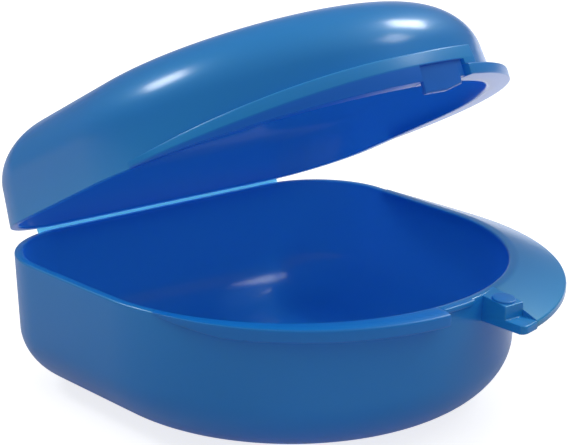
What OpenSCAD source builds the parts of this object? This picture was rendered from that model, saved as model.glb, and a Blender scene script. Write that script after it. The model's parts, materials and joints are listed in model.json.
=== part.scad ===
// Pocket case for an orthodontic retainer, moulded in one piece.
// A deep tray and a shallower domed lid share one D-shaped outline and meet at a flat parting plane.
// A thin film along the straight back joins them, and a hook at the front snaps over a bead.
// Millimetres. +Z is up, the front with the latch faces -Y, and the hinge runs along X.
// The origin is the middle of the flat underside of the tray.

/* [Outline] */
// Width of both shells at the rim
case_w = 75; // [64:0.5:88]
// Length of both shells at the rim, from the back face to the front
case_l = 71.6; // [66:0.2:84]
// Radius of the two back corners
corner_r = 14.8; // [11:0.1:17]
// How far each side draws in towards the round front
side_taper = 0.7; // [0.2:0.1:2]
// Wall thickness of both shells
wall = 1.5; // [1:0.1:2.2]

/* [Tray] */
// Height of the tray, from its underside to the rim
base_h = 22.9; // [18:0.1:30]
// Draft angle of the tray's wall
base_draft = 1.85; // [0.5:0.05:4]
// Width of the round between the tray's wall and its underside
base_edge_w = 14.2; // [8:0.1:16]
// Height of that round
base_edge_h = 10.5; // [7:0.1:14]
// Thickness of the tray's floor
floor_t = 1.5; // [1:0.1:2.5]

/* [Lid] */
// Height of the lid, from its rim to its flat top
lid_h = 16.2; // [15:0.1:22]
// Draft angle of the lid's wall
lid_draft = 4.7; // [1:0.05:6]
// Width of the round between the lid's wall and its top
lid_edge_w = 13.3; // [7:0.1:15]
// Height of that round
lid_edge_h = 10.4; // [7:0.1:11.5]
// Thickness of the lid's top
top_t = 1.5; // [1:0.1:2.5]

/* [Hinge] */
// How far the lid stands open
open_angle = 26.3; // [5:0.1:60]
// Length of the hinge film along the back
hinge_l = 52; // [34:0.5:54]
// Thickness of the film
film_t = 0.4; // [0.3:0.05:0.7]
// Inner radius of the film, round the hinge line
film_r = 0.5; // [0.4:0.05:0.9]
// Distance of the hinge line behind the back face
hinge_back = 0.3; // [0.2:0.05:0.8]
// Clearance between the two rims when the case is shut
rim_gap = 0.2; // [0.1:0.05:0.5]

/* [Thumb flanges] */
// How far forward of the front arc's centre the tray flange's outer arc is centred
flange_forward = 2.8; // [1.5:0.1:4]
// How much larger the radius of that outer arc is than the front arc
flange_out = 5.75; // [3:0.05:6.5]
// Fall of the tray flange's top, per millimetre outwards
flange_fall = 0.33; // [0.15:0.01:0.5]
// Thickness of the tray flange
flange_t = 1.4; // [1:0.1:2]
// Width of the lid flange
lid_flange_w = 2.5; // [1.5:0.1:4]
// Thickness of the lid flange
lid_flange_t = 1.8; // [1:0.1:2.4]

/* [Rim lips] */
// How far forward of the front arc's centre the lips' outer arc is centred
lip_forward = 2.8; // [2.2:0.1:4]
// How much smaller the radius of that outer arc is than the front arc
lip_in = 0.7; // [0.4:0.1:1.2]
// Height of the tray's lip
base_lip_h = 2.2; // [1.8:0.1:3.2]
// Fall of the tray lip's top at its outer edge
base_lip_fall = 0.3; // [0.2:0.05:0.8]
// Height of the lid's lip at the latch
lid_lip_h = 4.35; // [3.6:0.05:5.5]
// Height of the lid's lip where it runs out at the side
lid_lip_side_h = 0.9; // [0.6:0.1:2]
// Height of the lid's lip at its right end
lid_lip_end_h = 4.9; // [4:0.1:5.6]
// Share of the lid lip's height that lies below the crease of its face, where it runs out
lid_lip_face = 0.38; // [0.3:0.01:0.5]
// The same share where the lip is widest
lid_lip_face_end = 0.58; // [0.5:0.01:0.7]
// How far the lip's face leans back above its crease
lid_lip_lean = 0.3; // [0.1:0.05:0.8]

/* [Latch] */
// Left end of the latch, where the lid's lip is cut
latch_x = -1; // [-3:0.1:0]
// How far the tray's lip ends short of it
base_lip_short = 0.5; // [0.2:0.1:1.5]
// Left face of the block that ends the tray flange
block_x = 7.8; // [7.4:0.1:10]
// Width of the block
block_w = 3.8; // [2.8:0.1:4.4]
// How far the block reaches out from the wall, at its left face
block_out = 4.7; // [4:0.1:5.4]
// Depth of the block's sloped top below the rim, at its front
block_drop = 0.75; // [0.5:0.05:1]
// Radius of the round corner of the shelf in front of the block
tip_round = 1.2; // [0.4:0.1:2]
// Distance of the round pip on the block from the block's sides
pip_edge = 0.1; // [0.05:0.05:0.5]
// How much farther the pip is from the block's front
pip_back = 0.3; // [0:0.05:0.6]
// Height of the pip
pip_h = 0.3; // [0.2:0.05:0.4]
// Length of the catch bead along the rim
bead_l = 6.8; // [5:0.1:7]
// How far the bead stands out from the wall
bead_out = 0.5; // [0.3:0.05:0.7]
// Height of the bead
bead_h = 0.9; // [0.6:0.05:1.1]
// Clearance on each side of the hook, to the lid's lip and the block
hook_side = 0.3; // [0.2:0.05:0.8]
// Thickness of the hook
hook_t = 0.7; // [0.5:0.05:0.9]
// How far the hook hangs below the lid's rim
hook_drop = 1.75; // [1.6:0.05:2.6]
// How much less it hangs at its right end
hook_rise = 0.7; // [0.3:0.05:0.8]
// How far the hook's barb points inwards
barb = 0.35; // [0.2:0.05:0.5]
// Length of the barb, before it runs out to the right
barb_l = 4.6; // [3:0.1:6]
// Distance of the notch over the hook from the crease of the lid's lip
notch_edge = 0.15; // [0.1:0.05:0.5]
// How far the notch reaches past the block's left face
notch_past = 1.1; // [0.6:0.1:2]
// How far the lid's lip reaches past the block, on top of the lid's flange
lid_lip_past = 0.3; // [0.1:0.1:1.5]
// Clearance round the latch when the case is shut
latch_gap = 0.15; // [0.1:0.05:0.4]

/* [Hidden] */

// Segments of each back corner, of the front arc and of a rounded edge
corner_n = 10;
front_n = 40;
edge_n = 8;
// Smallest corner radius of an outline drawn in towards the floor
least_r = 0.6;
// Width at which a flange or lip runs out
tip_w = 0.25;
// Steps of a flange along the straight side
side_n = 8;
// Steps over which the tray flange turns from the straight latch to the round rim
fan_n = 8;
// Length over which the lid lip's notch begins and ends
notch_draft = 0.15;
// Least depth of the hook below the point of its barb
hook_end = 0.1;
// How far the underside of the hook's plate is rounded
plate_belly = 0.05;
// How much sooner the tray's lip reaches its full height than its full width
lip_grow = 2.5;
// Gap between pieces of one moulding that meet at a cut
seam = 0.02;
$fn = 64;

y_back = case_l / 2;
y_front = -case_l / 2;
front_r = case_w / 2 - side_taper;
front_c = [0, y_front + front_r];
base_rim = base_h;
lid_rim = base_h + rim_gap;
axis_y = y_back + hinge_back;
axis_z = base_h + rim_gap / 2;
block_end = block_x + block_w;
notch_end = block_x + notch_past;
lid_lip_end = block_end + lid_lip_past;
base_lip_end = latch_x - base_lip_short;
hook_left = latch_x + hook_side;
hook_right = block_x - hook_side;
hook_in = bead_out + latch_gap;
hook_hang = max(hook_drop, bead_h + rim_gap + 2 * latch_gap + hook_end);
pip_d = block_w - 2 * pip_edge;
shell_blue = [0.13, 0.36, 0.68];
rim_blue = [0.22, 0.52, 0.78];
film_blue = [0.42, 0.70, 0.88];

// Corner circle of the outline, on the right, at offset o from the rim's outer edge
function corner_radius(o) = max(corner_r + o, least_r);
function corner_centre(o) = [
    case_w / 2 + o - corner_radius(o),
    y_back + o - corner_radius(o)
];

// Direction of the right side's outward normal, from the tangent of corner and front circles
function side_normal(o) =
    let (d = corner_centre(o) - front_c)
    atan2(d[1], d[0]) - acos((front_r + o - corner_radius(o)) / norm(d));

function along(angle) = [cos(angle), sin(angle)];
function flip_x(p) = [-p[0], p[1]];

// Outline at offset o: right corner, left corner, then the front arc, seen anticlockwise from above
function outline(o) =
    let (
        s = side_normal(o),
        r = corner_radius(o),
        c = corner_centre(o),
        corner = [for (i = [0:corner_n]) c + r * along(s + (90 - s) * i / corner_n)]
    )
    concat(
        corner,
        [for (i = [corner_n:-1:0]) flip_x(corner[i])],
        [for (i = [0:front_n]) front_c + (front_r + o) * along(180 - s + (180 + 2 * s) * i / front_n)]
    );

// Wall profiles as [offset, height above the closed end], with an elliptic round at that end
function outer_profile(h, draft, edge_w, edge_h) = concat(
    [for (i = [edge_n:-1:0])
        let (t = 90 * i / edge_n)
        [-(h - edge_h) * tan(draft) - edge_w * (1 - cos(t)), edge_h * (1 - sin(t))]],
    [[0, h]]
);
function inner_profile(h, draft, edge_w, edge_h, end_t) = concat(
    [[-wall, h]],
    [for (i = [0:edge_n])
        let (t = 90 * i / edge_n)
        [
            -wall - (h - edge_h) * tan(draft) - (edge_w - wall) * (1 - cos(t)),
            end_t + (edge_h - end_t) * (1 - sin(t))
        ]]
);

// Solid through a list of rings with equal numbers of points, closed at both ends
module loft(rings, turned = false) {
    n = len(rings[0]);
    last = (len(rings) - 1) * n;
    sides = [
        for (j = [0:len(rings) - 2], i = [0:n - 1])
            let (a = j * n + i, b = j * n + (i + 1) % n)
            each [[a, a + n, b + n], [a, b + n, b]]
    ];
    first_end = [for (i = [0:n - 1]) i];
    last_end = [for (i = [n - 1:-1:0]) last + i];
    faces = concat(sides, [first_end, last_end]);
    polyhedron(
        [for (ring = rings, p = ring) p],
        turned ? [for (f = faces) [for (i = [len(f) - 1:-1:0]) f[i]]] : faces,
        convexity = 6
    );
}

// Open shell whose closed end lies at height z0 and whose wall runs up (1) or down (-1) from it
module shell(h, draft, edge_w, edge_h, end_t, z0, up) {
    profile = concat(
        outer_profile(h, draft, edge_w, edge_h),
        inner_profile(h, draft, edge_w, edge_h, end_t)
    );
    rings = [
        for (q = profile)
            [for (p = outline(q[0])) [p[0], p[1], z0 + up * q[1]]]
    ];
    loft(rings, up < 0);
}

// Places on the rim: 0 to front_n along the front arc from left to right, then along the right side
side_angle = side_normal(0);
arc_step = (180 + 2 * side_angle) / front_n;
notch_step = notch_draft / (front_r * arc_step * PI / 180);
rim_points = [
    for (i = [0:front_n]) front_c + front_r * along(180 - side_angle + arc_step * i),
    corner_centre(0) + corner_r * along(side_angle)
];
rim_normals = [
    for (i = [0:front_n]) along(180 - side_angle + arc_step * i),
    along(side_angle)
];
function mix(a, b, t) = a + (b - a) * t;
function between(list, s) =
    let (k = min(floor(s), front_n))
    mix(list[k], list[k + 1], s - k);
function unit(v) = v / norm(v);
function place_at_angle(angle) = (angle - 180 + side_angle) / arc_step;
function place_at_x(x) = place_at_angle(360 - acos(x / front_r));

// Directions in which a band reaches out: square to the rim, or straight to the front
function square_out(s) = unit(between(rim_normals, s));
function to_front(s) = [0, -1];

// Width between the rim at place s and an outer arc of centre c and radius r, along a heading
function width_at(s, heading, c, r) =
    let (q = between(rim_points, s) - c, b = q * heading(s))
    -b + sqrt(max(b * b - q * q + r * r, 0));

// Place on the right side where that width has shrunk to tip_w
function side_tip(c, r) =
    let (
        a = rim_points[front_n],
        d = rim_points[front_n + 1] - a,
        q = a + tip_w * rim_normals[front_n] - c,
        b = q * d
    )
    front_n + min((sqrt(b * b - (d * d) * (q * q - r * r)) - b) / (d * d), 1);

// Place on the left of the front arc where the lips' width has shrunk to tip_w
function arc_tip(forward, r) =
    let (rho = front_r + tip_w)
    place_at_angle(180 + asin(-(r * r - forward * forward - rho * rho) / (2 * forward * rho)));

// Places from a to b: both ends, the arc's own points between them and steps along the side
function places(a, b) = concat(
    [a],
    [for (i = [floor(a) + 1:1:min(ceil(b) - 1, front_n)]) i],
    [for (i = [1:1:side_n - 1]) let (s = front_n + (b - front_n) * i / side_n) if (b > front_n) s],
    [b]
);

// Step from the rim at place s to its wall's flat facet drawn in by d, along a heading h
function to_wall(s, d, h) =
    let (
        n = between(rim_normals, s),
        k = min(floor(s), front_n),
        t = rim_points[k + 1] - rim_points[k]
    )
    d * (n - t * cross(n, h) / cross(t, h));

// Band along the rim. Each section point is [distance out from the rim, height above rim_z],
// and a point that isn't out of the rim lies on the wall
module band(stations, section, heading, rim_z) {
    rings = [
        for (s = stations)
            let (p = between(rim_points, s), h = heading(s))
            [
                for (q = section(s))
                    let (v = p + (q[0] > 0 ? q[0] * h : to_wall(s, q[0], h)))
                    [v[0], v[1], rim_z + q[1]]
            ]
    ];
    loft(rings);
}

// Distance out of the drafted wall at height z from the rim
function tray_wall(z) = -abs(z) * tan(base_draft);
function lid_wall(z) = -abs(z) * tan(lid_draft);

// Turns what is drawn with the case shut about the hinge line, to the lid's open place
module on_open_lid() {
    translate([0, axis_y, axis_z])
        rotate([-open_angle, 0, 0])
            translate([0, -axis_y, -axis_z])
                children();
}

// Outer arcs of the thumb flanges and of the lips
flange_c = front_c - [0, flange_forward];
flange_r = front_r + flange_out;
lid_flange_r = front_r + lid_flange_w;
lip_c = front_c - [0, lip_forward];
lip_r = front_r - lip_in;
flange_start = place_at_x(block_end + seam);
function flange_heading(s) =
    let (turn = min(max(s - flange_start, 0) / fan_n, 1))
    unit(mix(to_front(s), square_out(s), turn));
function flange_w(s) = width_at(s, function(s) flange_heading(s), flange_c, flange_r);
function lip_w(s) = width_at(s, function(s) square_out(s), lip_c, lip_r);
function lid_flange_w_at(s) = width_at(s, function(s) square_out(s), front_c, lid_flange_r);
lip_tip = arc_tip(lip_forward, lip_r);
block_front = between(rim_points, place_at_x(block_x))[1] - block_out;
lip_full_w = lip_forward - lip_in;
block_slope = block_drop / (between(rim_points, place_at_x(block_end))[1] - block_front);

// Sloped plate with a blunt outer edge
function flange_section(s) =
    let (w = flange_w(s), edge = min(flange_t / 4, w / 2), drop = flange_fall * w)
    [
        [tray_wall(flange_t), -flange_t],
        [0, 0],
        [w - edge, -drop],
        [w, -drop - edge],
        [w, -drop - flange_t + edge],
        [w - edge, -drop - flange_t]
    ];

// End of the flange: a block with a sloped top and a straight front, which stands on a flat shelf
function block_section(s) =
    let (
        p = between(rim_points, s),
        turn = 1 - min(max((p[0] - block_x) / tip_round, 0), 1),
        full = flange_w(s),
        out = p[1] - block_front,
        edge = flange_t / 4,
        w = full - min(tip_round * (1 - sqrt(1 - turn * turn)), full - out - 2 * edge),
        top = block_slope * out - block_drop,
        shelf = -flange_fall * full,
        low = shelf - flange_t
    )
    [
        [tray_wall(low), low],
        [tray_wall(top), top],
        [out, -block_drop],
        [out, shelf],
        [w - edge, shelf],
        [w, shelf - edge],
        [w, low + edge],
        [w - edge, low]
    ];

// Narrow ledge whose top falls a little outwards
function base_lip_section(s) =
    let (
        w = lip_w(s),
        share = min(w / lip_full_w, 1),
        low = -mix(base_lip_fall, base_lip_h, min(lip_grow * share, 1))
    )
    [
        [tray_wall(low), low],
        [0, 0],
        [w / 2, -base_lip_fall * share / 4],
        [w, -base_lip_fall * share],
        [w, low]
    ];

// Bead with a rounded nose
function bead_section(s) = [
    [tray_wall(bead_h), -bead_h],
    [0, 0],
    [bead_out / 2, 0],
    [bead_out, -bead_h / 3],
    [bead_out, -bead_h * 2 / 3]
];

// Flat plate with a rounded outer edge, its underside level with the lid's rim
function lid_flange_section(s) =
    let (w = lid_flange_w_at(s), edge = min(lid_flange_t / 6, w / 2))
    [
        [0, 0],
        [lid_wall(lid_flange_t), lid_flange_t],
        [w - edge, lid_flange_t],
        [w, lid_flange_t - edge],
        [w, edge / 2],
        [w - edge / 2, 0]
    ];

// Heights of the lid lip's flat top, of the crease in its face and of the notch under that crease
function lid_lip_share(s) = s > place_at_x(latch_x) ? 1 : min(lip_w(s) / lip_full_w, 1);
function lid_lip_top(s) =
    let (a = place_at_x(latch_x), past = (s - a) / (place_at_x(lid_lip_end) - a))
    past > 0 ? mix(lid_lip_h, lid_lip_end_h, past) : mix(lid_lip_side_h, lid_lip_h, lid_lip_share(s));
function lid_lip_crease(s) =
    lid_lip_top(s) * mix(lid_lip_face, lid_lip_face_end, pow(lid_lip_share(s), 3));
function notch_top(s) = lid_lip_crease(s) - notch_edge;

// Face with a crease under a flat top. The foot is raised over the notch, and past it stands on the flange
function lid_lip_section(s) =
    let (
        w = lip_w(s),
        top = lid_lip_top(s),
        a = place_at_x(latch_x) + notch_step / 2,
        b = place_at_x(notch_end) - notch_step / 2,
        foot = s < a ? 0 : s < b ? notch_top(s) : lid_flange_t,
        crease = max(lid_lip_crease(s), foot + notch_edge)
    )
    [
        [lid_wall(foot), foot],
        [lid_wall(top), top],
        [w - min(lid_lip_lean, w / 2), top],
        [w, crease],
        [w, foot]
    ];

// Plate in the notch, about level with the lid's rim, beside the hanging tongue
function notch_plate_section(s) =
    let (out = hook_in + barb + hook_t, edge = hook_t / 2, top = notch_top(s) - seam)
    concat(
        [[0, 0], [lid_wall(top), top], [out, top], [out, edge]],
        [for (i = [0:4]) [(out - edge) * (1 - i / 5), -plate_belly * sin(36 * i)]]
    );

// Tongue on the lid's wall, clear of the bead below the rim. Its barb points inwards, and both
// run out towards the right
function tongue_section(s) =
    let (
        x = between(rim_points, s)[0],
        run = min(max((x - hook_left - barb_l) / (hook_right - hook_left - barb_l), 0), 1),
        rise = hook_rise * run,
        nose = barb * (1 - run),
        face = hook_in + barb,
        out = face + hook_t,
        top = notch_top(s) - seam,
        low = rise - hook_hang,
        under_bead = rise - bead_h - rim_gap
    )
    [
        [0, 0],
        [lid_wall(top), top],
        [out, top],
        [out, low + hook_t / 2],
        [out - hook_t / 2, low],
        [face - nose / 2, low],
        [face - nose, under_bead - 2 * latch_gap],
        [face, under_bead],
        [face, 0]
    ];
function hook_section(s) =
    s < place_at_x(hook_right) + notch_step / 2 ? tongue_section(s) : notch_plate_section(s);

module base_shell() {
    color(shell_blue) shell(base_h, base_draft, base_edge_w, base_edge_h, floor_t, 0, 1);
}

module base_thumb_flange() {
    color(shell_blue)
        band(
            places(flange_start, side_tip(flange_c, flange_r)),
            function(s) flange_section(s),
            function(s) flange_heading(s),
            base_rim
        );
}

module base_rim_lip() {
    color(rim_blue)
        band(
            places(lip_tip, place_at_x(base_lip_end)),
            function(s) base_lip_section(s),
            function(s) square_out(s),
            base_rim
        );
}

module latch_block() {
    color(shell_blue)
        band(
            concat(
                [for (a = [0:30:60]) place_at_x(block_x + tip_round * (1 - cos(a)))],
                places(place_at_x(block_x + tip_round), place_at_x(block_end))
            ),
            function(s) block_section(s),
            function(s) to_front(s),
            base_rim
        );
}

module latch_pip() {
    color(rim_blue)
        translate([block_x + block_w / 2, block_front, base_rim - block_drop])
            rotate([atan(block_slope), 0, 0])
                translate([0, pip_edge + pip_back + pip_d / 2, 0])
                    cylinder(d = pip_d, h = pip_h);
}

module latch_catch() {
    color(rim_blue)
        band(
            places(place_at_x(base_lip_end + seam), place_at_x(base_lip_end + bead_l)),
            function(s) bead_section(s),
            function(s) to_front(s),
            base_rim
        );
}

module lid_shell() {
    color(shell_blue)
        on_open_lid()
            shell(lid_h, lid_draft, lid_edge_w, lid_edge_h, top_t, lid_rim + lid_h, -1);
}

module lid_thumb_flange() {
    color(rim_blue)
        on_open_lid()
            band(
                places(place_at_x(notch_end + seam), side_tip(front_c, lid_flange_r)),
                function(s) lid_flange_section(s),
                function(s) square_out(s),
                lid_rim
            );
}

module lid_rim_lip() {
    notch_a = place_at_x(latch_x);
    notch_b = place_at_x(notch_end);
    color(rim_blue)
        on_open_lid()
            band(
                concat(
                    places(lip_tip, notch_a),
                    places(notch_a + notch_step, notch_b - notch_step),
                    places(notch_b, place_at_x(lid_lip_end))
                ),
                function(s) lid_lip_section(s),
                function(s) square_out(s),
                lid_rim
            );
}

module latch_hook() {
    tongue_end = place_at_x(hook_right);
    plate_end = place_at_x(notch_end - notch_draft - seam);
    color(rim_blue)
        on_open_lid()
            band(
                concat(
                    places(place_at_x(hook_left), tongue_end),
                    places(tongue_end + notch_step, plate_end)
                ),
                function(s) hook_section(s),
                function(s) to_front(s),
                lid_rim
            );
}

// Section of the film: a tube round the hinge line, cut off where a foot runs to each back wall
module film_section() {
    outer = film_r + film_t;
    difference() {
        circle(r = outer);
        circle(r = film_r);
        in_front(outer);
        rotate(-open_angle) in_front(outer);
    }
    translate([-hinge_back, -outer])
        square([hinge_back, film_t]);
    rotate(-open_angle)
        translate([-hinge_back, film_r])
            square([hinge_back, film_t]);
}

// The half of the film's section that lies in front of the hinge line
module in_front(outer) {
    translate([-2 * outer, -2 * outer])
        square([2 * outer, 4 * outer]);
}

module living_hinge() {
    color(film_blue)
        translate([-hinge_l / 2, axis_y, axis_z])
            rotate([90, 0, 90])
                linear_extrude(hinge_l)
                    film_section();
}

base_shell();
base_thumb_flange();
base_rim_lip();
latch_block();
latch_pip();
latch_catch();
lid_shell();
lid_thumb_flange();
lid_rim_lip();
latch_hook();
living_hinge();
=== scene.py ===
"""Looks of a blue pocket case for an orthodontic retainer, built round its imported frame.

A mesh is shaped in millimetres, with the case shut, and is scaled to metres when it is finished. The lid's
pieces then turn about the hinge line to where the lid stands at rest.
"""

import json
import logging
import math
from collections.abc import Callable, Iterable, Mapping, Sequence
from dataclasses import dataclass, replace
from enum import Enum

import bmesh
import bpy
from bmesh.types import BMEdge, BMesh, BMFace, BMVert
from mathutils import Matrix, Vector


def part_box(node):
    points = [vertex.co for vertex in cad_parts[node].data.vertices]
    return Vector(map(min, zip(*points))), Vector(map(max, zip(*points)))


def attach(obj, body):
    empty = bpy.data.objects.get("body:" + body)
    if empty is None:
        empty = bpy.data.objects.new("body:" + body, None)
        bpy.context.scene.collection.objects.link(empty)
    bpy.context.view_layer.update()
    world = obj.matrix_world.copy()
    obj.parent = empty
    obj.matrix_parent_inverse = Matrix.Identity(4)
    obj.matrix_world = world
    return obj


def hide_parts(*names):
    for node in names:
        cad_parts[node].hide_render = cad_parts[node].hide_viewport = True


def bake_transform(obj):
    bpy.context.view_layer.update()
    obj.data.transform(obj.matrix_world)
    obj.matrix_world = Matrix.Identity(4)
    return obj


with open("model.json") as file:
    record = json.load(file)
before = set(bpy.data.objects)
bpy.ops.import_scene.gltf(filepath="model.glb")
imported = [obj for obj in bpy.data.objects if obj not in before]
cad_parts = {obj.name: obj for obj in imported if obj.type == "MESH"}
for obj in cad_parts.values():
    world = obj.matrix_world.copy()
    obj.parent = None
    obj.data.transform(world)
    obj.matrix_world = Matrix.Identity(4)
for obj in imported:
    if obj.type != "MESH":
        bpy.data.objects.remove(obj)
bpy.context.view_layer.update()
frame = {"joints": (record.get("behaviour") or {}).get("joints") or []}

LOG = logging.getLogger("retainer_case")
MM = 0.001
SMOOTH_ANGLE = math.radians(38)
FRONT = Vector((0, -1, 0))
UP = Vector((0, 0, 1))
WHITE = (1, 1, 1, 1)

# Vertex attribute that holds the strength of a painted paler tone, standing for light that comes through the
# wall and falls on lit faces
PAINTED_GLOW = "thin"

# Distances within which the outline's points, and the edges of a shell's two walls, become one
TOUCH = 1e-4
WELD = 1e-3

# Depth of a band's root in the wall, and how far in and how high a band covers the rim's top
SUNK = 0.5
RIM_TOP = 1.05
COVER = 0.015

# Least width of a flange, and the width at which it ends on the side
LEAST = 0.03
RUN_OUT = 0.05

# Segments of a band along the front arc and along the side
ARC_STEPS = 72
SIDE_STEPS = 24

Colour = tuple[float, float, float]
Direction = tuple[float, float, float]
Place = tuple[float, float, float]
Point = tuple[float, float]
MeshItem = BMVert | BMEdge | BMFace
PaintedGlowAt = Callable[[Vector], float]
Value = float | tuple[float, ...] | bpy.types.NodeSocket
Inputs = Mapping[str | int, Value]


class Body(Enum):
    """The two rigid bodies that the hinge joins."""

    TRAY = "tray"
    LID = "lid"


class Slot(Enum):
    """Material slots of the record."""

    SHELL = "shell"
    RIM = "rim"
    FILM = "film"


class Ray(Enum):
    """Kinds of ray that see a surface of the studio in their own way."""

    CAMERA = "Is Camera Ray"
    GLOSSY = "Is Glossy Ray"
    PASSED = "Is Transmission Ray"


# Sections and stations along the rim


@dataclass(frozen=True)
class Corner:
    """Corner of a section.

    Attributes:
        out: Distance out from the rim.
        up: Height above the rim.
        radius: Radius of its rounding, or 0 for a sharp corner.
    """

    out: float
    up: float
    radius: float = 0.0

    @property
    def point(self) -> Vector:
        """The corner before its rounding."""
        return Vector((self.out, self.up))


def rounded(corners: Sequence[Corner], steps: int = 5, room: float = 0.48) -> list[Point]:
    """Rounds the corners of a closed section.

    Args:
        corners: The corners in order.
        steps: Segments of each rounding.
        room: Share of a side of the section that one rounding may take.

    Returns:
        Points as (out, up), the same number for any sizes of the same corners.
    """
    points: list[Point] = []
    for i, corner in enumerate(corners):
        here = corner.point
        if corner.radius == 0:
            points.append(here[:])
            continue
        to_before = corners[i - 1].point - here
        to_after = corners[(i + 1) % len(corners)].point - here
        half = to_before.angle(to_after) / 2
        longest = room * min(to_before.length, to_after.length)
        tangent = min(corner.radius / math.tan(half), longest)
        first = here + to_before.normalized() * tangent
        last = here + to_after.normalized() * tangent
        inward = (to_before.normalized() + to_after.normalized()).normalized()
        centre = here + inward * (tangent / math.cos(half))
        sweep = (first - centre).angle_signed(last - centre)
        for k in range(steps + 1):
            turn = Matrix.Rotation(-sweep * k / steps, 2)
            points.append((centre + turn @ (first - centre))[:])
    return points


@dataclass(frozen=True)
class Circle:
    """Outer edge of a band, seen from above.

    Attributes:
        centre: Its centre.
        radius: Its radius.
    """

    centre: Vector
    radius: float


@dataclass(frozen=True)
class Station:
    """A place on the rim and the direction in which a band reaches out from it.

    Attributes:
        foot: Point on the rim's outer edge.
        heading: Unit vector away from the wall.
    """

    foot: Vector
    heading: Vector

    def at(self, out: float, up: float) -> Vector:
        """Point at a distance out from the rim and a height above it."""
        return self.foot + self.heading * out + UP * up

    def ring(self, corners: Sequence[Corner]) -> list[Vector]:
        """Points of a rounded section that stands here."""
        return [self.at(*point) for point in rounded(corners)]

    def facing(self, heading: Vector) -> "Station":
        """The same place with another heading."""
        return Station(self.foot, heading.normalized())

    def reach(self, edge: Circle) -> float:
        """Distance along the heading to a band's outer edge.

        Args:
            edge: The outer edge.

        Returns:
            The distance in millimetres, or 0 where the edge is already behind.
        """
        away = self.foot - edge.centre
        ahead = away.dot(self.heading)
        inside = ahead * ahead - away.dot(away) + edge.radius * edge.radius
        return max(math.sqrt(max(inside, 0.0)) - ahead, 0.0)


def run_out(wide: Callable[[float], bool], near: float, far: float, halvings: int = 40) -> float:
    """Finds where a band has shrunk to its least width.

    Args:
        wide: Says whether the band is still wider at a value.
        near: A value at which it is.
        far: A value at which it isn't.
        halvings: How often the stretch between them is halved.

    Returns:
        The last value at which it is wider.
    """
    for _ in range(halvings):
        middle = (near + far) / 2
        if wide(middle):
            near = middle
        else:
            far = middle
    return near


def of_kind(items: Iterable[MeshItem], kind: type[MeshItem]) -> list[MeshItem]:
    """Those of an operator's results that are vertices, edges or faces."""
    return [item for item in items if isinstance(item, kind)]


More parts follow.
